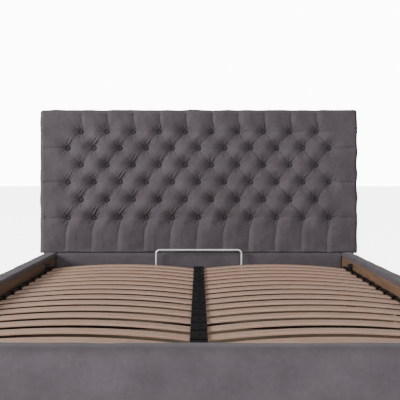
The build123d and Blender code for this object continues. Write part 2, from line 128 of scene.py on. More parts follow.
class RailSettings(bpy.types.PropertyGroup):
    """Sizes of the padded rail covers."""

    crown: mm("Crown", "Rise of a rail's top in the middle", 3)
    outer: mm("Outer edge", "Rounding of a rail's outer top edge", 38)
    inner: mm("Inner edge", "Rounding of a rail's inner top edge", 13.5)
    end: mm("Head end", "Rounding of a side rail's top where it meets the headboard", 24)
    slack: mm("Slack", "Unevenness of the cloth over the foam", 1.1)
    side_slack: mm("Side slack", "Unevenness of the cloth on the upright sides", 0.6)
    side_bulge: mm("Side bulge", "How far the upright sides stand out", 1.2)
    back: mm("Back", "From the top down to the hidden back of a cover", 23.6)
    hem_gap: mm("Hem gap", "From the bare board up to the cover's hem", 0.2)
    turn_in: mm("Turn in", "Width of the hem under an outer edge", 22.5)


class ClothSettings(bpy.types.PropertyGroup):
    """Colours of the velour."""

    light: tint("Nap light", "Colour where the nap lies towards the light", (0.105, 0.090, 0.101))
    dark: tint("Nap dark", "Colour where the nap lies away", (0.072, 0.061, 0.069))


class WoodSettings(bpy.types.PropertyGroup):
    """Colours of the timber."""

    slat: tint("Slat", "Face of the bent beech slats", (0.57, 0.38, 0.29))
    slat_dark: tint("Slat grain", "Grain of the slats", (0.37, 0.225, 0.155))
    board: tint("Board", "Brown inner boards", (0.215, 0.13, 0.078))
    board_dark: tint("Board grain", "Grain of the inner boards", (0.125, 0.072, 0.043))


class FixingSettings(bpy.types.PropertyGroup):
    """Sizes of the staples and stitches."""

    margin: mm("Margin", "From the back cloth's edge in to its staples", 9)
    pitch: mm("Staple pitch", "Distance between staples", 42)
    crown: mm("Staple width", "Length of a staple's visible bar", 10)
    wire: mm("Staple wire", "Thickness of a staple's wire", 1.2)
    stitch: mm("Stitch pitch", "Distance between stitches", 3.4)
    thread: mm("Thread", "Thickness of the thread", 0.9)
    strap: mm("Strap", "Thickness of the strap", 2.4)
    patch: mm("Patch", "Length of the stitched square at each end of the strap", 20)
    end_margin: mm("End margin", "From the strap's end to its stitches", 1.5)
    side_margin: mm("Side margin", "From the strap's edges to its stitches", 2.5)
    raised: part_of("Raised", "Share of a wire's thickness that lifts its middle off the face", 0.3)


class StageSettings(bpy.types.PropertyGroup):
    """Camera, floor and light."""

    lens: part_of("Lens", "Focal length, mm", 59.2)
    distance: mm("Distance", "Camera to the front of the tufting", 3750)
    height: mm("Height", "Camera above the floor", 756)
    shift_x: part_of("Shift X", "Sideways lens shift", 0.003)
    shift_y: part_of("Shift Y", "Upright lens shift", -0.05)
    ambient: part_of("Ambient", "Strength of the even light", 0.38)
    backdrop: part_of("Backdrop", "Strength of the light that the camera sees behind", 12.0)
    floor: mm("Floor", "Radius of the round floor", 80000)
    # The shadow under the bed is painted: the floor's glow fades within this reach.
    contact: mm("Contact", "Reach of the soft shadow under the bed", 700)
    floor_glow: part_of("Floor glow", "Glow of the floor that the camera sees", 5.5)


SETTINGS = {
    "bed_tuft": TuftSettings,
    "bed_rail": RailSettings,
    "bed_cloth": ClothSettings,
    "bed_wood": WoodSettings,
    "bed_fixings": FixingSettings,
    "bed_stage": StageSettings,
}


FLOAT, COLOR, VECTOR = "NodeSocketFloat", "NodeSocketColor", "NodeSocketVector"


# Shape helpers

HIDDEN = 1.0  # unrolled depth that marks points behind a cover, which keep their place
TUCK = 0.0006  # how far a cover's hidden edges stay inside what they close against


def wander(a, b, scale, seed, waves=7):
    """Smooth seeded unevenness between about -1 and 1 over a flat sheet."""
    rng = np.random.default_rng(seed)
    total = np.zeros(np.broadcast(a, b).shape)
    for _ in range(waves):
        turn, phase = rng.uniform(0, 2 * math.pi, 2)
        k = 2 * math.pi / (scale * rng.uniform(0.6, 1.6))
        total += np.sin(k * (a * math.cos(turn) + b * math.sin(turn)) + phase)
    return total / math.sqrt(waves * 2)


def axis_steps(lo, hi, r_lo, r_hi, inner, arc):
    """Core positions and arc shares along one side of a rounded panel."""
    keep = [v for v in inner if lo + r_lo + 1e-6 < v < hi - r_hi - 1e-6]
    core = [lo + r_lo] + keep + [hi - r_hi]
    turn = np.linspace(1 / arc, 1, arc)
    core = np.concatenate([[lo + r_lo] * arc, core, [hi - r_hi] * arc])
    share = np.concatenate([-turn[::-1], np.zeros(len(keep) + 2), turn])
    return core, share


def add_mesh(name, points, faces):
    """A smooth-shaded mesh object in the scene, from plain points and faces."""
    mesh = bpy.data.meshes.new(name)
    mesh.from_pydata([tuple(p) for p in points], [], [tuple(f) for f in faces])
    mesh.update()
    mesh.shade_smooth()
    made = bpy.data.objects.new(name, mesh)
    bpy.context.scene.collection.objects.link(made)
    return made


def rounded_face(u, v, radii):
    """Grid of a face with rounded edges, as built and as unrolled.

    Also gives each point's outward turn, its share of the u edges and its core place.
    """
    (cu, su), (cv, sv) = u, v
    su, sv = np.meshgrid(su, sv)
    cu, cv = np.meshgrid(cu, cv)
    norm = np.maximum((abs(su) ** 4 + abs(sv) ** 4) ** 0.25, 1e-9)
    du, dv = su / norm, sv / norm
    ru = np.where(su < 0, radii[0], radii[1])
    rv = np.where(sv < 0, radii[2], radii[3])
    share = du**2 / np.maximum(du**2 + dv**2, 1e-9)
    bend = np.maximum(abs(su), abs(sv)) * math.pi / 2
    fall = -(ru * share + rv * (1 - share)) * (1 - np.cos(bend))
    built = np.stack([cu + du * ru * np.sin(bend), cv + dv * rv * np.sin(bend), fall], -1)
    arc_u, arc_v = su * ru * math.pi / 2, sv * rv * math.pi / 2
    unrolled = np.stack([cu + arc_u, cv + arc_v, np.zeros_like(cu)], -1)
    return built, unrolled, np.stack([du, dv], -1), share, (cu, cv)


def face_cells(index, core, crease):
    """The grid's cells as quads, or as triangles that follow the creases."""
    a, b, c, d = index[:-1, :-1], index[:-1, 1:], index[1:, 1:], index[1:, :-1]
    if crease is None:
        return np.stack([a, b, c, d], -1).reshape(-1, 4).tolist()
    cu, cv = core
    rising = crease(cu[:-1, :-1], cv[:-1, :-1], cu[1:, 1:], cv[1:, 1:])
    up = [np.stack(t, -1)[rising] for t in ((a, b, c), (a, c, d))]
    down = [np.stack(t, -1)[~rising] for t in ((a, b, d), (b, c, d))]
    return np.concatenate(up + down).tolist()


def turned_edge(ring, start, spot, turn, share, drops, hems, floor, steps):
    """Rings of points down the turned edge, under its hem and in to the hidden back."""
    drops, hems = np.array(drops), np.array(hems)
    side, end = np.where(turn[:, 0] < 0, 0, 1), np.where(turn[:, 1] < 0, 2, 3)
    length = drops[side] * share + drops[end] * (1 - share) + start[:, 2]
    hem = hems[side] * share + hems[end] * (1 - share)
    points, flat, faces = [], [], []
    total = int(ring.max()) + 1
    for k in range(1, steps + 3):
        down = min(k, steps) / steps
        step, unrolled = start.copy(), spot.copy()
        step[:, 2] = start[:, 2] - length * down
        unrolled[:, 2] = length * down
        if k > steps:
            step[:, :2] -= turn * hem[:, None]
            unrolled[:, 2] = HIDDEN
        if k > steps + 1:
            step[:, 2] = floor
        points.append(step)
        flat.append(unrolled)
        new = np.arange(total, total + len(ring))
        quads = np.stack([ring, np.roll(ring, -1), np.roll(new, -1), new], -1)
        faces += quads[:, ::-1].tolist()
        ring, total = new, total + len(ring)
    faces += [(int(p), total, int(q)) for p, q in zip(ring, np.roll(ring, -1))]
    points.append(points[-1].mean(0)[None])
    flat.append(np.array([[0, 0, HIDDEN]]))
    return points, flat, faces


def outward_normals(mesh, place, probe):
    """The mesh's point normals, flipped if need be so that they face outwards."""
    normals = np.empty(len(mesh.vertices) * 3)
    mesh.vertices.foreach_get("normal", normals)
    normals = normals.reshape(-1, 3)
    outward = place(np.array([[0, 0, 1.0]])) - place(np.array([[0, 0, 0.0]]))
    if float(normals[probe] @ outward[0]) < 0:
        mesh.flip_normals()
        normals = -normals
    return normals


def padded_shell(name, place, u, v, radii, drops, hems, floor, relief, steps, crease=None):
    """A closed padded cover: a rounded face, its turned-down edges and a hidden back.

    u and v are (core, share) pairs along the face, place maps local u, v, w to the bed,
    and radii, drops and hems are for the low u, high u, low v and high v edges.
    """
    built, unrolled, turn, share, core = rounded_face(u, v, radii)
    rows, cols = share.shape
    index = np.arange(rows * cols).reshape(rows, cols)
    ring = np.concatenate([index[0, :], index[1:, -1], index[-1, -2::-1], index[-2:0:-1, 0]])
    built, unrolled = built.reshape(-1, 3), unrolled.reshape(-1, 3)
    points, flat, faces = turned_edge(
        ring, built[ring], unrolled[ring], turn.reshape(-1, 2)[ring],
        share.reshape(-1)[ring], drops, hems, floor, steps,
    )
    local, flat = np.concatenate([built, *points]), np.concatenate([unrolled, *flat])
    made = add_mesh(name, place(local), face_cells(index, core, crease) + faces)
    normals = outward_normals(made.data, place, (rows // 2) * cols + cols // 2)
    depth, sway = relief(flat[:, 0], flat[:, 1], flat[:, 2])
    depth = np.where(flat[:, 2] >= HIDDEN, 0, depth)
    world = place(local) - normals * depth[:, None]
    if sway is not None:
        shifted = local.copy()
        shifted[:, :2] += sway
        world = world + place(shifted) - place(local)
    made.data.vertices.foreach_set("co", world.reshape(-1))
    made.data.update()
    return made


def finish_pad(piece, material, nodes, body=BASE):
    """Gives a padded cover its cloth and ties it to the frame."""
    piece.data.materials.append(material)
    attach(piece, body)
    if nodes:
        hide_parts(*nodes)


# Tufting

UPRIGHT = ("top", "foot")  # pleats that run from the outer rows to the edges
DIAGONAL = {"rise": 1.0, "fall": 0.7}  # pleats between rows, with their share of depth


OVERSHOOT = {"side": 0.12, "top": 0.12, "foot": 0.06}  # how far outer pleats pass the edge
SPREAD = 0.15  # seeded variation of each pleat, up and down
BILLOW_SPAN, RIPPLE_SPAN, SWAY_SPAN = 0.16, 0.045, 0.11  # wavelengths of the unevenness
PLEAT_RANGE, BUTTON_RANGE = 0.1, 0.09  # beyond these a pleat or a button has no effect


def button_rows(s, top):
    """Each row's height and its buttons' places across the bed."""
    rows = []
    for k in range(s.rows):
        z = top - s.first_drop - s.row_step * k - s.row_growth * k * k
        count = 10 if k % 2 == 0 else 11
        rows.append((z, (np.arange(count) - (count - 1) / 2) * s.pitch))
    return rows


def pleat_lines(s, rows, half, top, bottom):
    """Pleats as (x0, z0, x1, z1, kind); the first end is always at a button."""
    lines = []
    for k, (z, xs) in enumerate(rows[:-1]):
        below, others = rows[k + 1]
        for x in xs:
            for other in others:
                if abs(abs(other - x) - s.pitch / 2) < 1e-4:
                    lines.append((x, z, other, below, "rise" if other < x else "fall"))
    for z, xs in rows[1::2]:
        for x in (xs[0], xs[-1]):
            lines.append((x, z, math.copysign(half + OVERSHOOT["side"], x), z, "side"))
    for x in rows[0][1]:
        lines.append((x, rows[0][0], x, top + OVERSHOOT["top"], "top"))
    for x in rows[-1][1]:
        lines.append((x, rows[-1][0], x, bottom - OVERSHOOT["foot"], "foot"))
    return lines


def roll(share):
    """Height of a stuffed roll against distance from its crease, both as shares."""
    return 1 - (1 - np.clip(share, 0, 1)) ** 1.7


def bell(value, middle, width):
    """A smooth bump of height 1."""
    return np.exp(-(((value - middle) / width) ** 2))


def pleat_place(s, line, x, z):
    """Where points lie by a pleat: its length, then raw, along, across and distance."""
    x0, z0, x1, z1, kind = line
    length = math.hypot(x1 - x0, z1 - z0)
    ux, uz = (x1 - x0) / length, (z1 - z0) / length
    px, pz = x - x0, z - z0
    raw = px * ux + pz * uz
    if kind in UPRIGHT:
        swing = np.exp(-np.clip(raw, 0, 1) / s.bow_reach)
        px = px - s.bow * swing
        if kind == "foot":
            px = px + s.splay * (1 - swing)
    along = np.clip(raw, 0, length)
    across = px * uz - pz * ux
    if kind == "side":
        across = pz
    elif kind == "top":
        across = -across
    return length, raw, along, across, np.hypot(px - along * ux, pz - along * uz)


def pleat_valley(s, kind, place, vary):
    """Depth of a pleat's broad valley, with one gentle and one steep side."""
    length, raw, along, across, dist = place
    wide, tight = (s.lobe_broad, s.lobe_steep) if kind in UPRIGHT else (s.broad, s.steep)
    lean = np.clip(raw / 0.03, 0, 1) * np.sign(across)
    if kind == "rise":
        lean *= 0.15 + 0.85 * along / length
    reach = ((wide + tight) / 2 + lean * (wide - tight) / 2) * vary[0]
    if kind in DIAGONAL:
        gap = np.minimum(along, length - along)
        end = s.pleat * (2.4 * vary[1] - 1.4) * DIAGONAL[kind]
        run = bell(gap, 0, s.throat)
    else:
        end = (s.side_pleat if kind == "side" else s.edge_pleat) * vary[1]
        run = np.exp(-along / s.lobe_throat)
    return (end + (s.hollow - end) * run) * (1 - roll(dist / reach))


def pleat_nip(s, line, place, vary):
    """Depth of a pleat's narrow crease: rising ones fade to the right, falling to the left."""
    x0, kind = line[0], line[-1]
    length, _, along, _, dist = place
    part = along / length
    if kind == "rise":
        sharp = 1.3 * vary[0] * bell(part, 0.76, 0.2) * np.clip((0.5 - x0) / 0.7, 0.35, 1)
    elif kind == "fall":
        sharp = 1.7 * vary[1] * bell(part, 0.62, 0.4) * np.clip((x0 + 0.2) / 0.6, 0, 1)
    else:
        sharp = {"top": 1.0, "foot": 0.6, "side": 1.5}[kind]
    return s.nip * sharp * np.exp(-dist / s.nip_width)


def pleat_wrinkles(s, line, place, vary):
    """Height of the small folds beside a rising pleat, strongest at the left."""
    length, _, along, across, _ = place
    band = bell(across, s.wrinkle_off, s.wrinkle_reach) * bell(along / length, 0.7, 0.17)
    ripple = np.cos(2 * math.pi * across / s.wrinkle_pitch + 3 * vary[2])
    share = (vary[2] - 0.8) * 4 * np.clip((0.4 - line[0]) / 0.8, 0.3, 1)
    return s.wrinkle * share * band * ripple


def tuft_relief(s, rows, lines, half, top, bottom):
    """Depth of the tufted cover below its crown, as a function of place."""
    spots = np.array([(x, z) for z, xs in rows for x in xs])
    rng = np.random.default_rng(11)
    vary = rng.uniform(1 - SPREAD, 1 + SPREAD, (len(lines), 3))
    merge = 4  # power that blends neighbouring hollows without a ridge

    def relief(x, z, beyond):
        total, fold, nip, pit = (np.zeros_like(x) for _ in range(4))
        for line, spread in zip(lines, vary):
            x0, z0, x1, z1, kind = line
            near = np.flatnonzero(
                (x > min(x0, x1) - PLEAT_RANGE) & (x < max(x0, x1) + PLEAT_RANGE)
                & (z > min(z0, z1) - PLEAT_RANGE) & (z < max(z0, z1) + PLEAT_RANGE)
            )
            if not len(near):
                continue
            place = pleat_place(s, line, x[near], z[near])
            total[near] += (pleat_valley(s, kind, place, spread) / MM) ** merge
            nip[near] = np.maximum(nip[near], pleat_nip(s, line, place, spread))
            if kind == "rise":
                fold[near] += pleat_wrinkles(s, line, place, spread)
        for bx, bz in spots:
            near = np.flatnonzero((abs(x - bx) < BUTTON_RANGE) & (abs(z - bz) < BUTTON_RANGE))
            px, pz = x[near] - bx, z[near] - bz
            dist = np.hypot(px, pz)
            total[near] += (s.hollow * np.exp(-((dist / s.cone) ** 1.7)) / MM) ** merge
            rim = np.clip((s.pit_width + 0.003 - dist) / 0.004, 0, 1)
            pit[near] = np.maximum(pit[near], s.pit * rim)
            spokes = np.cos(s.spokes * np.arctan2(pz, px) + bx * 40 + bz * 23)
            fold[near] += s.gather * spokes * bell(dist, 0.03, 0.014)
        for level in (rows[0][0], rows[-1][0]):
            nip = np.maximum(nip, s.seam * np.exp(-abs(z - level) / 0.003))
        depth = total ** (1 / merge) * MM
        soft = s.billow * wander(x, z, BILLOW_SPAN, 3) + s.ripple * wander(x, z, RIPPLE_SPAN, 4)
        past = np.maximum(abs(x) - half, z - top) + s.corner
        turn = np.clip(past / (s.corner * math.pi / 2), 0, 1)
        depth = np.maximum(depth + soft + fold + nip, pit) * np.exp(-beyond / 0.035)
        depth *= (1 - s.edge_keep * turn) * (0.2 + 0.8 * np.clip((z - bottom) / s.hem, 0, 1))
        depth += s.lining - s.bulge * turn**1.5 * np.exp(-beyond / 0.045)
        sway = np.stack([s.sway * wander(x, z, SWAY_SPAN, seed) for seed in (5, 6)], -1)
        pin = np.min(np.hypot(x[:, None] - spots[:, 0], z[:, None] - spots[:, 1]), 1)
        sway *= (np.clip(pin / 0.03, 0, 1) * np.exp(-beyond / 0.01))[:, None]
        return depth, sway

    return relief


def tuft_grid(s, rows, half, top, bottom):
    """Grid lines of the tufted cover, which pass through every button."""
    per = 25  # cells from one button to the next pleat crossing
    reach = 12 * per
    xs = np.arange(-reach, reach + 1) * s.pitch / 2 / per
    levels = [z for z, _ in reversed(rows)]
    zs = list(np.arange(bottom, levels[0] - 0.002, 0.0039))
    for z0, z1 in zip(levels, levels[1:]):
        zs += list(np.linspace(z0, z1, per, endpoint=False))
    zs += list(np.arange(levels[-1], top, 0.0038))
    u = axis_steps(-half, half, s.corner, s.corner, xs, 11)
    return u, axis_steps(bottom, top, s.lower, s.corner, zs, 9)


def pleat_split(s, rows):
    """Tells which cells' diagonals rise to the right, so that they follow the pleats."""
    levels = -np.array([z for z, _ in rows])

    def rising(x0, z0, x1, z1):
        row = np.searchsorted(levels, -(z0 + z1) / 2) - 1
        cell = np.floor((x0 + x1) / s.pitch).astype(int)
        return (cell + row) % 2 == 0

    return rising


class BED_OT_tufted_cover(bpy.types.Operator):
    """Make the deep diamond-tufted cover of the headboard"""

    bl_idname = "bed.tufted_cover"
    bl_label = "Tufted cover"

    def execute(self, context):
        s = context.scene.bed_tuft
        low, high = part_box("headboard_pad")
        face = low.y
        half, top = high.x, high.z
        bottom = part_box("head_rail_pad")[1].z + s.seam_gap
        panel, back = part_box("headboard_panel")[0].y - face, high.y - face - TUCK
        rows = button_rows(s, top)
        lines = pleat_lines(s, rows, half, top, bottom)
        u, v = tuft_grid(s, rows, half, top, bottom)

        def place(p):
            return np.stack([p[:, 0], face - p[:, 2], p[:, 1]], -1)

        cover = padded_shell(
            "tufted_cover", place, u, v, (s.corner, s.corner, s.lower, s.corner),
            (back, back, panel - 0.0004, back),
            (s.turn_in, s.turn_in, 0.001, s.turn_in), TUCK - panel,
            tuft_relief(s, rows, lines, half, top, bottom), 14, pleat_split(s, rows),
        )
        finish_pad(cover, finish("velour"), ["headboard_pad"])
        return {"FINISHED"}


class BED_OT_headboard_sides(bpy.types.Operator):
    """Make the cloth that covers the headboard's edges below the tufting"""

    bl_idname = "bed.headboard_sides"
    bl_label = "Headboard sides"

    def execute(self, context):
        low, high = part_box("headboard_pad")
        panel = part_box("headboard_panel")[0].y
        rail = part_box("head_rail_pad")[1].z
        edge, thick = 0.002, 0.0024
        for name, side in (("left", -1), ("right", 1)):
            y0, y1, z0, z1 = panel + 0.0008, high.y - TUCK, low.z, rail + 0.006
            u = axis_steps(y0, y1, edge, 0.003, np.linspace(y0, y1, 10), 3)
            v = axis_steps(z0, z1, edge, edge, np.linspace(z0, z1, 60), 3)

            def place(p, side=side):
                return np.stack([side * (high.x - 0.0004 + p[:, 2]), p[:, 0], p[:, 1]], -1)

            def relief(a, b, beyond):
                return 0.0003 * wander(a, b, 0.12, 21), None

            skin = padded_shell(
                f"headboard_side_{name}", place, u, v, (edge, 0.003, edge, edge),
                (thick,) * 4, (0.001,) * 4, -thick - 0.0001, relief, 1,
            )
            finish_pad(skin, finish("velour"), [])
        return {"FINISHED"}


RAIL_STEP = 0.012  # grid spacing along a rail


def rail_relief(s, seed, width, centre):
    """Gentle crown and unevenness of a padded rail."""

    def relief(a, b, beyond):
        across = np.clip(abs(b - centre) / (width / 2), 0, 1)
        crown = -s.crown * np.cos(across * math.pi / 2) ** 0.8
        soft = s.slack * wander(a, b, 0.20, seed) + s.slack * 0.35 * wander(a, b, 0.05, seed + 1)
        side = s.side_slack * wander(a, beyond, 0.15, seed + 2)
        blend = np.exp(-beyond / 0.03)
        bulge = -s.side_bulge * np.sin(np.clip(beyond / 0.25, 0, 1) * math.pi)
        return (crown + soft) * blend + (side + bulge) * (1 - blend), None

    return relief


class BED_OT_side_rails(bpy.types.Operator):
    """Make the padded covers of the two side rails"""

    bl_idname = "bed.side_rails"
    bl_label = "Side rail covers"

    def execute(self, context):
        s = context.scene.bed_rail
        for name, side in (("left", -1), ("right", 1)):
            low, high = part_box(f"{name}_rail_pad")
            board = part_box(f"{name}_rail_board")[1].z
            y0, y1 = low.y + 0.0005, high.y - 0.0005
            foot = 0.006
            a0, a1 = sorted((abs(low.x), abs(high.x)))
            u = axis_steps(y0, y1, foot, s.end, np.arange(y0, y1, RAIL_STEP), 6)
            v = axis_steps(a0, a1, s.inner, s.outer, np.linspace(a0, a1, 12), 8)

            def place(p, side=side):
                return np.stack([side * p[:, 1], p[:, 0], high.z + p[:, 2]], -1)

            top = high.z
            cover = padded_shell(
                f"side_cover_{name}", place, u, v, (foot, s.end, s.inner, s.outer),
                (top - low.z, top - low.z, top - board - s.hem_gap, top - low.z),
                (0.0015, 0.0015, 0.0195, s.turn_in), -s.back,
                rail_relief(s, 31 + side, a1 - a0, (a0 + a1) / 2), 22,
            )
            finish_pad(cover, finish("velour"), [f"{name}_rail_pad"])
        return {"FINISHED"}


class BED_OT_foot_rail(bpy.types.Operator):
    """Make the padded cover of the foot rail"""

    bl_idname = "bed.foot_rail"
    bl_label = "Foot rail cover"

    def execute(self, context):
        s = context.scene.bed_rail
        low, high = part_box("foot_rail_pad")
        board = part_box("foot_rail_board")[1]
        x0, x1, y0, y1 = low.x, high.x, low.y, board.y + 0.0028
        u = axis_steps(x0, x1, s.outer, s.outer, np.arange(x0, x1, RAIL_STEP), 9)
        v = axis_steps(y0, y1, s.outer, s.inner, np.linspace(y0, y1, 12), 9)

        def place(p):
            return np.stack([p[:, 0], p[:, 1], high.z + p[:, 2]], -1)

        top = high.z
        cover = padded_shell(
            "foot_cover", place, u, v, (s.outer, s.outer, s.outer, s.inner),
            (top - low.z, top - low.z, top - low.z, top - board.z - s.hem_gap),
            (s.turn_in, s.turn_in, s.turn_in, 0.018), -s.back,
            rail_relief(s, 41, y1 - y0, (y0 + y1) / 2), 24,
        )
        finish_pad(cover, finish("velour"), ["foot_rail_pad"])
        return {"FINISHED"}


class BED_OT_head_rail(bpy.types.Operator):
    """Make the padded cover of the rail below the headboard"""

    bl_idname = "bed.head_rail"
    bl_label = "Head rail cover"

    def execute(self, context):
        s = context.scene.bed_rail
        low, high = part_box("head_rail_pad")
        x0, x1, z0, z1 = low.x, high.x, low.z, high.z
        end, under, over, hem = 0.004, 0.010, 0.016, 0.001
        u = axis_steps(x0, x1, end, end, np.arange(x0, x1, RAIL_STEP), 4)
        v = axis_steps(z0, z1, under, over, np.linspace(z0, z1, 22), 7)

        def place(p):
            return np.stack([p[:, 0], low.y - p[:, 2], p[:, 1]], -1)

        def relief(a, b, beyond):
            soft = s.slack * 0.7 * wander(a, b, 0.22, 51) + 0.0003 * wander(a, b, 0.05, 52)
            return soft * np.exp(-beyond / 0.03) + 0.0008, None

        deep = high.y - low.y
        cover = padded_shell(
            "head_rail_cover", place, u, v, (end, end, under, over),
            (deep, deep, 0.05, deep - 0.0004), (hem,) * 4, -0.0596,
            relief, 10,
        )
        finish_pad(cover, finish("velour"), ["head_rail_pad"])
        return {"FINISHED"}


# Repeated small parts, made with Geometry Nodes


def wire_tree():
    """Geometry Nodes: a short bar set along every edge of a guide at an even pitch."""
    tree = bpy.data.node_groups.new("wire row", "GeometryNodeTree")
    tree.interface.new_socket("Guide", in_out="INPUT", socket_type="NodeSocketGeometry")
    for label, kind, value in (
        ("Pitch", FLOAT, 0.03), ("Length", FLOAT, 0.01), ("Thickness", FLOAT, 0.001),
        ("Facing", VECTOR, (0, 0, 1)), ("Scatter", FLOAT, 0.0), ("Seed", "NodeSocketInt", 0),
        ("Material", "NodeSocketMaterial", None),
    ):
        socket = tree.interface.new_socket(label, in_out="INPUT", socket_type=kind)
        if value is not None:
            socket.default_value = value
    tree.interface.new_socket("Row", in_out="OUTPUT", socket_type="NodeSocketGeometry")
    start, end = tree.nodes.new("NodeGroupInput"), tree.nodes.new("NodeGroupOutput")
    line = chain(tree, "GeometryNodeMeshToCurve")
    face = chain(tree, "GeometryNodeSetCurveNormal", mode="FREE")
    spots = chain(tree, "GeometryNodeCurveToPoints", mode="LENGTH")
    bar = chain(tree, "GeometryNodeMeshCube")
    size = chain(tree, "ShaderNodeCombineXYZ")
    turn = chain(tree, "FunctionNodeRandomValue", data_type="FLOAT")
    low = chain(tree, "ShaderNodeMath", operation="MULTIPLY")
    low.inputs[1].default_value = -1.0
    angle = chain(tree, "ShaderNodeCombineXYZ")
    spun = chain(tree, "FunctionNodeRotateRotation", rotation_space="LOCAL")
    place = chain(tree, "GeometryNodeInstanceOnPoints")
    real = chain(tree, "GeometryNodeRealizeInstances")
    coat = chain(tree, "GeometryNodeSetMaterial")
    link = tree.links.new
    link(start.outputs["Guide"], line.inputs["Mesh"])
    link(line.outputs["Curve"], face.inputs["Curve"])
    link(start.outputs["Facing"], face.inputs["Normal"])
    link(face.outputs["Curve"], spots.inputs["Curve"])
    link(start.outputs["Pitch"], spots.inputs["Length"])
    link(start.outputs["Thickness"], size.inputs["X"])
    link(start.outputs["Thickness"], size.inputs["Y"])
    link(start.outputs["Length"], size.inputs["Z"])
    link(size.outputs[0], bar.inputs["Size"])
    link(start.outputs["Scatter"], low.inputs[0])
    link(low.outputs[0], turn.inputs["Min"])
    link(start.outputs["Scatter"], turn.inputs["Max"])
    link(start.outputs["Seed"], turn.inputs["Seed"])
    link(turn.outputs["Value"], angle.inputs["X"])
    link(spots.outputs["Points"], place.inputs["Points"])
    link(bar.outputs["Mesh"], place.inputs["Instance"])
    link(spots.outputs["Rotation"], spun.inputs["Rotation"])
    link(angle.outputs[0], spun.inputs["Rotate By"])
    link(spun.outputs[0], place.inputs["Rotation"])
    link(place.outputs[0], real.inputs[0])
    link(real.outputs[0], coat.inputs["Geometry"])
    link(start.outputs["Material"], coat.inputs["Material"])
    link(coat.outputs[0], end.inputs["Row"])
    return tree


def wire_row(name, guide, material, slot, body, **values):
    """Bakes a row of small bars along guide lines into one plain piece."""
    mesh = bpy.data.meshes.new(name)
    points = [p for pair in guide for p in pair]
    mesh.from_pydata(points, [(i, i + 1) for i in range(0, len(points), 2)], [])
    source = bpy.data.objects.new(name + " guide", mesh)
    bpy.context.scene.collection.objects.link(source)
    tree = bpy.data.node_groups.get("wire row") or wire_tree()
    modifier = source.modifiers.new("row", "NODES")
    modifier.node_group = tree
    keys = {i.name: i.identifier for i in tree.interface.items_tree if i.in_out == "INPUT"}
    for label, value in {**values, "Material": material}.items():
        modifier[keys[label]] = value
    source.update_tag()
    ready = source.evaluated_get(bpy.context.evaluated_depsgraph_get())
    baked = bpy.data.meshes.new_from_object(ready)
    baked.name = name
    bpy.data.objects.remove(source)
    made = bpy.data.objects.new(name, baked)
    bpy.context.scene.collection.objects.link(made)
    if not baked.materials:
        baked.materials.append(material)
    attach(made, body)
    return made


class BED_OT_fixings(bpy.types.Operator):
    """Add the staples of the back cloth and the stitches of the lift strap"""

    bl_idname = "bed.fixings"
    bl_label = "Staples and stitches"

    def execute(self, context):
        s = context.scene.bed_fixings
        low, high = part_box("headboard_back_cover")
        back = high.y + s.wire * s.raised
        x0, x1 = low.x + s.margin, high.x - s.margin
        z0, z1 = low.z + s.margin, high.z - s.margin
        corners = [(x0, back, z0), (x1, back, z0), (x1, back, z1), (x0, back, z1)]
        guide = list(zip(corners, corners[1:] + corners[:1]))
        wire_row(
            "back_staples", guide, finish("zinc plate"), "zinc", BASE,
            Pitch=s.pitch, Length=s.crown, Thickness=s.wire, Scatter=0.12, Seed=5,
            Facing=(0.0, 1.0, 0.0),
        )
        low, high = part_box("lift_strap")
        foot = low.z + s.strap + s.thread * s.raised
        guide = []
        for side in (-1, 1):
            outer = side * (high.x - s.end_margin)
            inner = outer - side * s.patch
            y0, y1 = low.y + s.side_margin, high.y - s.side_margin
            square = [(inner, y0, foot), (outer, y0, foot), (outer, y1, foot), (inner, y1, foot)]
            guide += list(zip(square, square[1:] + square[:1]))
        wire_row(
            "strap_stitches", guide, finish("twine"), "cord", LIFT,
            Pitch=s.stitch, Length=s.stitch * 0.7, Thickness=s.thread, Facing=(0.0, 0.0, 1.0),
        )
        return {"FINISHED"}


# Finishes


def new_group(name, inputs, outputs):
    """A shader node group with named sockets; returns it with its two end nodes."""
    group = bpy.data.node_groups.new(name, "ShaderNodeTree")
    for label, kind, value in inputs:
        made = group.interface.new_socket(label, in_out="INPUT", socket_type=kind)
        made.default_value = value
    for label, kind in outputs:
        group.interface.new_socket(label, in_out="OUTPUT", socket_type=kind)
    return group, group.nodes.new("NodeGroupInput"), group.nodes.new("NodeGroupOutput")


def chain(tree, kind, **values):
    """Adds a node and sets its properties and, by name, its inputs."""
    node = tree.nodes.new(kind)
    for key, value in values.items():
        if key in node.inputs:
            node.inputs[key].default_value = value
        else:
            setattr(node, key, value)
    return node


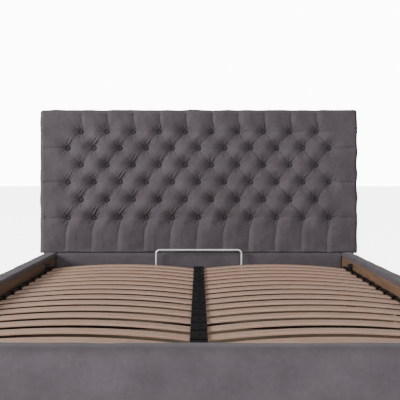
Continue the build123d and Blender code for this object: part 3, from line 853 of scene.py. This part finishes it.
def grain_group():
    """Stretched wood grain, with a colour, a mask and a height."""
    tree, given, out = new_group(
        "wood grain",
        [("Light", COLOR, (1, 1, 1, 1)), ("Dark", COLOR, (0, 0, 0, 1)),
         ("Stretch", VECTOR, (1, 1, 1)), ("Scale", FLOAT, 20.0)],
        [("Color", COLOR), ("Height", FLOAT), ("Rough", FLOAT)],
    )
    where = chain(tree, "ShaderNodeTexCoord")
    size = chain(tree, "ShaderNodeMapping")
    coarse = chain(tree, "ShaderNodeTexNoise", Detail=4.0, Roughness=0.6, Distortion=0.4)
    fine = chain(tree, "ShaderNodeTexNoise", Detail=6.0, Roughness=0.7)
    faster = chain(tree, "ShaderNodeMath", operation="MULTIPLY")
    faster.inputs[1].default_value = 5.0
    both = chain(tree, "ShaderNodeMath", operation="ADD")
    spread = chain(tree, "ShaderNodeMapRange")
    spread.inputs["From Min"].default_value = 0.75
    spread.inputs["From Max"].default_value = 1.25
    mix = chain(tree, "ShaderNodeMix", data_type="RGBA")
    rough = chain(tree, "ShaderNodeMapRange")
    rough.inputs["To Min"].default_value = 0.42
    rough.inputs["To Max"].default_value = 0.6
    link = tree.links.new
    link(where.outputs["Object"], size.inputs["Vector"])
    link(given.outputs["Stretch"], size.inputs["Scale"])
    link(size.outputs[0], coarse.inputs["Vector"])
    link(size.outputs[0], fine.inputs["Vector"])
    link(given.outputs["Scale"], coarse.inputs["Scale"])
    link(given.outputs["Scale"], faster.inputs[0])
    link(faster.outputs[0], fine.inputs["Scale"])
    link(coarse.outputs[0], both.inputs[0])
    link(fine.outputs[0], both.inputs[1])
    link(both.outputs[0], spread.inputs["Value"])
    link(spread.outputs[0], mix.inputs["Factor"])
    link(given.outputs["Dark"], mix.inputs["A"])
    link(given.outputs["Light"], mix.inputs["B"])
    link(mix.outputs["Result"], out.inputs["Color"])
    link(spread.outputs[0], out.inputs["Height"])
    link(spread.outputs[0], rough.inputs["Value"])
    link(rough.outputs[0], out.inputs["Rough"])
    return tree


def nap_group():
    """Brushed nap: broad streaks, small marks and a fine pile."""
    tree, given, out = new_group(
        "brushed nap",
        [("Light", COLOR, (1, 1, 1, 1)), ("Dark", COLOR, (0, 0, 0, 1)),
         ("Pile", FLOAT, 900.0)],
        [("Color", COLOR), ("Height", FLOAT)],
    )
    where = chain(tree, "ShaderNodeTexCoord")
    broad = chain(tree, "ShaderNodeTexNoise", Scale=9.0, Detail=3.0, Roughness=0.55)
    marks = chain(tree, "ShaderNodeTexNoise", Scale=70.0, Detail=4.0, Roughness=0.65)
    pile = chain(tree, "ShaderNodeTexNoise", Detail=2.0, Roughness=0.6)
    part = chain(tree, "ShaderNodeMath", operation="MULTIPLY")
    part.inputs[1].default_value = 0.55
    both = chain(tree, "ShaderNodeMath", operation="ADD")
    more = chain(tree, "ShaderNodeMath", operation="MULTIPLY_ADD")
    more.inputs[1].default_value = 0.25
    spread = chain(tree, "ShaderNodeMapRange")
    spread.inputs["From Min"].default_value = 0.62
    spread.inputs["From Max"].default_value = 1.18
    mix = chain(tree, "ShaderNodeMix", data_type="RGBA")
    link = tree.links.new
    for node in (broad, marks, pile):
        link(where.outputs["Object"], node.inputs["Vector"])
    link(given.outputs["Pile"], pile.inputs["Scale"])
    link(marks.outputs[0], part.inputs[0])
    link(part.outputs[0], both.inputs[0])
    link(broad.outputs[0], both.inputs[1])
    link(pile.outputs[0], more.inputs[0])
    link(both.outputs[0], more.inputs[2])
    link(more.outputs[0], spread.inputs["Value"])
    link(spread.outputs[0], mix.inputs["Factor"])
    link(given.outputs["Dark"], mix.inputs["A"])
    link(given.outputs["Light"], mix.inputs["B"])
    link(mix.outputs["Result"], out.inputs["Color"])
    link(pile.outputs[0], out.inputs["Height"])
    return tree


def mottle_group():
    """Small even variation for painted, plated and moulded surfaces."""
    tree, given, out = new_group(
        "fine mottle",
        [("Light", COLOR, (1, 1, 1, 1)), ("Dark", COLOR, (0, 0, 0, 1)),
         ("Scale", FLOAT, 300.0), ("Smooth", FLOAT, 0.3), ("Coarse", FLOAT, 0.5)],
        [("Color", COLOR), ("Height", FLOAT), ("Rough", FLOAT)],
    )
    where = chain(tree, "ShaderNodeTexCoord")
    noise = chain(tree, "ShaderNodeTexNoise", Detail=3.0, Roughness=0.6)
    mix = chain(tree, "ShaderNodeMix", data_type="RGBA")
    rough = chain(tree, "ShaderNodeMapRange")
    rough.inputs["From Min"].default_value = 0.3
    rough.inputs["From Max"].default_value = 0.7
    link = tree.links.new
    link(where.outputs["Object"], noise.inputs["Vector"])
    link(given.outputs["Scale"], noise.inputs["Scale"])
    link(noise.outputs[0], mix.inputs["Factor"])
    link(given.outputs["Dark"], mix.inputs["A"])
    link(given.outputs["Light"], mix.inputs["B"])
    link(noise.outputs[0], rough.inputs["Value"])
    link(given.outputs["Smooth"], rough.inputs["To Min"])
    link(given.outputs["Coarse"], rough.inputs["To Max"])
    link(mix.outputs["Result"], out.inputs["Color"])
    link(noise.outputs[0], out.inputs["Height"])
    link(rough.outputs[0], out.inputs["Rough"])
    return tree


BUILDERS = {"wood grain": grain_group, "brushed nap": nap_group, "fine mottle": mottle_group}


def opaque(rgb):
    """A colour with full alpha."""
    return (*rgb, 1.0)


def make_material(name, group, inputs, relief, shine):
    """A material whose colour, roughness and relief come from one shared group."""
    material = bpy.data.materials.new(name)
    material.use_nodes = True
    tree = material.node_tree
    surface = tree.nodes["Principled BSDF"]
    effect = tree.nodes.new("ShaderNodeGroup")
    effect.node_tree = bpy.data.node_groups.get(group) or BUILDERS[group]()
    for key, value in inputs.items():
        effect.inputs[key].default_value = value
    tree.links.new(effect.outputs["Color"], surface.inputs["Base Color"])
    if "Rough" in effect.outputs and "Roughness" not in shine:
        tree.links.new(effect.outputs["Rough"], surface.inputs["Roughness"])
    for key, value in shine.items():
        surface.inputs[key].default_value = value
    bump = chain(tree, "ShaderNodeBump", Strength=relief[0], Distance=relief[1])
    tree.links.new(effect.outputs["Height"], bump.inputs["Height"])
    tree.links.new(bump.outputs["Normal"], surface.inputs["Normal"])
    return material


def grey(level, warm=0.0):
    """A near-neutral colour."""
    return (level * (1 + warm), level, level * (1 - warm), 1.0)


def finish_specs():
    """What each finish is made of: group, group inputs, relief and shine."""
    cloth, wood = bpy.context.scene.bed_cloth, bpy.context.scene.bed_wood
    nap = {"Light": opaque(cloth.light), "Dark": opaque(cloth.dark)}
    # Button nap: the velour's dark tone and a darker one, partly the tightly wrapped cloth's own
    # tone and partly painted shade of the pits the buttons sit in.
    button_shade_nap = {"Light": opaque(cloth.dark), "Dark": opaque(0.6 * c for c in cloth.dark)}
    soft = {"Roughness": 0.85, "Sheen Weight": 0.12, "Sheen Roughness": 0.4,
            "Specular IOR Level": 0.15}
    beech = {"Light": opaque(wood.slat), "Dark": opaque(wood.slat_dark),
             "Stretch": (0.6, 9.0, 60.0), "Scale": 9.0}
    board = {"Light": opaque(wood.board), "Dark": opaque(wood.board_dark),
             "Stretch": (6.0, 0.5, 6.0), "Scale": 9.0}
    return {
        "velour": ("brushed nap", nap, (0.35, 0.0004), soft),
        # Button velour: darker nap that carries painted shade of the button pits.
        "button velour": ("brushed nap", button_shade_nap, (0.35, 0.0004), soft),
        "beech": ("wood grain", beech, (0.15, 0.0003), {}),
        "brown board": ("wood grain", board, (0.2, 0.0003), {}),
        "softwood": ("wood grain", {"Light": (0.52, 0.36, 0.20, 1), "Dark": (0.36, 0.22, 0.11, 1),
                     "Stretch": (1.0, 1.0, 8.0), "Scale": 7.0}, (0.2, 0.0004), {}),
        "fibre board": ("fine mottle", {"Light": (0.30, 0.22, 0.15, 1),
                        "Dark": (0.22, 0.155, 0.10, 1), "Scale": 160.0, "Smooth": 0.6,
                        "Coarse": 0.8}, (0.2, 0.0003), {}),
        "black moulding": ("fine mottle", {"Light": grey(0.007), "Dark": grey(0.003),
                           "Scale": 500.0, "Smooth": 0.34, "Coarse": 0.5}, (0.15, 0.0002),
                           {"Specular IOR Level": 0.18}),
        "powder coat": ("fine mottle", {"Light": grey(0.014), "Dark": grey(0.008),
                        "Scale": 900.0, "Smooth": 0.38, "Coarse": 0.55}, (0.2, 0.0002), {}),
        "black enamel": ("fine mottle", {"Light": grey(0.03), "Dark": grey(0.02),
                         "Scale": 60.0, "Smooth": 0.16, "Coarse": 0.26}, (0.05, 0.0002), {}),
        "zinc plate": ("fine mottle", {"Light": grey(0.62), "Dark": grey(0.46, 0.03),
                       "Scale": 120.0, "Smooth": 0.28, "Coarse": 0.46}, (0.06, 0.0002),
                       {"Metallic": 1.0}),
        "bright plate": ("fine mottle", {"Light": grey(0.90), "Dark": grey(0.84),
                         "Scale": 90.0, "Smooth": 0.34, "Coarse": 0.44}, (0.03, 0.0001),
                         {"Metallic": 0.55}),
        "dust cloth": ("fine mottle", {"Light": grey(0.035), "Dark": grey(0.018),
                       "Scale": 1200.0, "Smooth": 0.85, "Coarse": 0.97}, (0.4, 0.0004), {}),
        "webbing": ("fine mottle", {"Light": grey(0.05), "Dark": grey(0.025),
                    "Scale": 800.0, "Smooth": 0.7, "Coarse": 0.9}, (0.5, 0.0006), {}),
        "twine": ("fine mottle", {"Light": (0.5, 0.45, 0.36, 1), "Dark": (0.34, 0.3, 0.23, 1),
                  "Scale": 900.0, "Smooth": 0.8, "Coarse": 0.95}, (0.5, 0.0005), {}),
    }


def finish(name):
    """The named finish, made when first asked for."""
    found = bpy.data.materials.get(name)
    return found or make_material(name, *finish_specs()[name])


FRAME_FINISHES = {
    "wood": "brown board", "timber": "softwood", "panel": "fibre board", "slat": "beech",
    "fabric": "velour", "buttons": "button velour", "cord": "twine", "lining": "dust cloth",
    "webbing": "webbing", "plastic": "black moulding", "steel": "powder coat",
    "zinc": "zinc plate", "bright": "bright plate", "strut": "black enamel",
}


class BED_OT_frame_finishes(bpy.types.Operator):
    """Give every piece of the frame its finish"""

    bl_idname = "bed.frame_finishes"
    bl_label = "Frame finishes"

    def execute(self, context):
        slots = {p["node"]: p["material_slot"] for p in frame["record"]["subparts"]}
        for node, made in frame["nodes"].items():
            for place in made.material_slots:
                place.material = finish(FRAME_FINISHES[slots[node]])
        return {"FINISHED"}


# Stage


def lamp(name, size, power, place, aim):
    """A soft rectangular lamp aimed at a point."""
    data = bpy.data.lights.new(name, "AREA")
    data.shape, data.size, data.size_y = "RECTANGLE", size[0], size[1]
    data.energy = power
    made = bpy.data.objects.new(name, data)
    made.location = place
    made.rotation_euler = (Vector(aim) - Vector(place)).to_track_quat("-Z", "Y").to_euler()
    bpy.context.scene.collection.objects.link(made)


LAMPS = (  # name, size, watts, place, aim
    ("key", (3.0, 2.5), 880, (-7.2, -3.4, 3.6), (0, 0.9, 0.7)),
    ("fill", (3.0, 2.0), 130, (0.8, -5.2, 1.3), (0, 0.6, 0.5)),
)
WHITE = (1.0, 1.0, 1.0, 1.0)


def pale_floor(s):
    """Matt pale floor that the camera sees as bright, with a painted soft shadow near the bed."""
    pale = bpy.data.materials.new("pale floor")
    pale.use_nodes = True
    tree = pale.node_tree
    shader = tree.nodes["Principled BSDF"]
    shader.inputs["Base Color"].default_value = (0.86, 0.86, 0.87, 1)
    shader.inputs["Roughness"].default_value = 0.7
    shader.inputs["Emission Color"].default_value = WHITE
    seen = chain(tree, "ShaderNodeLightPath")
    glow = chain(tree, "ShaderNodeMath", operation="MULTIPLY")
    glow.inputs[1].default_value = s.floor_glow
    # Painted contact shadow: the camera-seen glow fades where ambient occlusion finds the bed close
    # by.
    near = chain(tree, "ShaderNodeAmbientOcclusion", Distance=s.contact)
    deeper = chain(tree, "ShaderNodeMath", operation="POWER")
    deeper.inputs[1].default_value = 2.0
    shade = chain(tree, "ShaderNodeMath", operation="MULTIPLY")
    tree.links.new(seen.outputs["Is Camera Ray"], glow.inputs[0])
    tree.links.new(near.outputs["AO"], deeper.inputs[0])
    tree.links.new(glow.outputs[0], shade.inputs[0])
    tree.links.new(deeper.outputs[0], shade.inputs[1])
    tree.links.new(shade.outputs[0], shader.inputs["Emission Strength"])
    return pale


def studio_world(s):
    """Even white light, and a brighter white where the camera looks past the bed."""
    world = bpy.data.worlds.new("studio")
    world.use_nodes = True
    tree = world.node_tree
    sky = tree.nodes["Background"]
    sky.inputs["Color"].default_value = WHITE
    path = chain(tree, "ShaderNodeLightPath")
    level = chain(tree, "ShaderNodeMapRange")
    level.inputs["To Min"].default_value = s.ambient
    level.inputs["To Max"].default_value = s.backdrop
    tree.links.new(path.outputs["Is Camera Ray"], level.inputs["Value"])
    tree.links.new(level.outputs[0], sky.inputs["Strength"])
    return world


def front_camera(s):
    """The camera, straight in front of the headboard."""
    data = bpy.data.cameras.new("camera")
    data.lens, data.sensor_width = s.lens, 36
    data.shift_x, data.shift_y = s.shift_x, s.shift_y
    data.clip_end = 100
    camera = bpy.data.objects.new("camera", data)
    camera.location = (0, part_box("headboard_pad")[0].y - s.distance, s.height)
    camera.rotation_euler = (math.pi / 2, 0, 0)
    bpy.context.scene.collection.objects.link(camera)
    return camera


class BED_OT_stage(bpy.types.Operator):
    """Set the floor, the light and the camera"""

    bl_idname = "bed.stage"
    bl_label = "Stage"

    def execute(self, context):
        s = context.scene.bed_stage
        turns = np.linspace(0, 2 * math.pi, 96, endpoint=False)
        rim = [(s.floor * math.cos(a), s.floor * math.sin(a), 0) for a in turns]
        floor = add_mesh("floor", rim, [range(len(rim))])
        floor.data.materials.append(pale_floor(s))
        context.scene.world = studio_world(s)
        for name, size, power, place, aim in LAMPS:
            lamp(name, size, power, place, aim)
        context.scene.camera = front_camera(s)
        return {"FINISHED"}


OPERATORS = (
    BED_OT_tufted_cover,
    BED_OT_headboard_sides,
    BED_OT_side_rails,
    BED_OT_foot_rail,
    BED_OT_head_rail,
    BED_OT_fixings,
    BED_OT_frame_finishes,
    BED_OT_stage,
)


class BED_PT_panel(bpy.types.Panel):
    """Lists the bed's parts in the sidebar"""

    bl_idname = "BED_PT_panel"
    bl_label = "Bed"
    bl_space_type = "VIEW_3D"
    bl_region_type = "UI"
    bl_category = "Bed"

    def draw(self, context):
        for key in SETTINGS:
            settings = getattr(context.scene, key)
            box = self.layout.box()
            for prop in settings.bl_rna.properties:
                if not prop.is_readonly and prop.identifier != "name":
                    box.prop(settings, prop.identifier)
        for operator in OPERATORS:
            self.layout.operator(operator.bl_idname)


def register():
    """Registers the settings, operators and panel."""
    for key, group in SETTINGS.items():
        bpy.utils.register_class(group)
        setattr(bpy.types.Scene, key, PointerProperty(type=group))
    for cls in (*OPERATORS, BED_PT_panel):
        bpy.utils.register_class(cls)


def unregister():
    """Removes the panel, operators and settings."""
    for cls in (BED_PT_panel, *reversed(OPERATORS)):
        bpy.utils.unregister_class(cls)
    for key, group in reversed(SETTINGS.items()):
        delattr(bpy.types.Scene, key)
        bpy.utils.unregister_class(group)


def main():
    """Builds the whole bed."""
    register()
    for operator in OPERATORS:
        group, call = operator.bl_idname.split(".")
        getattr(getattr(bpy.ops, group), call)()


if __name__ == "__main__":
    main()
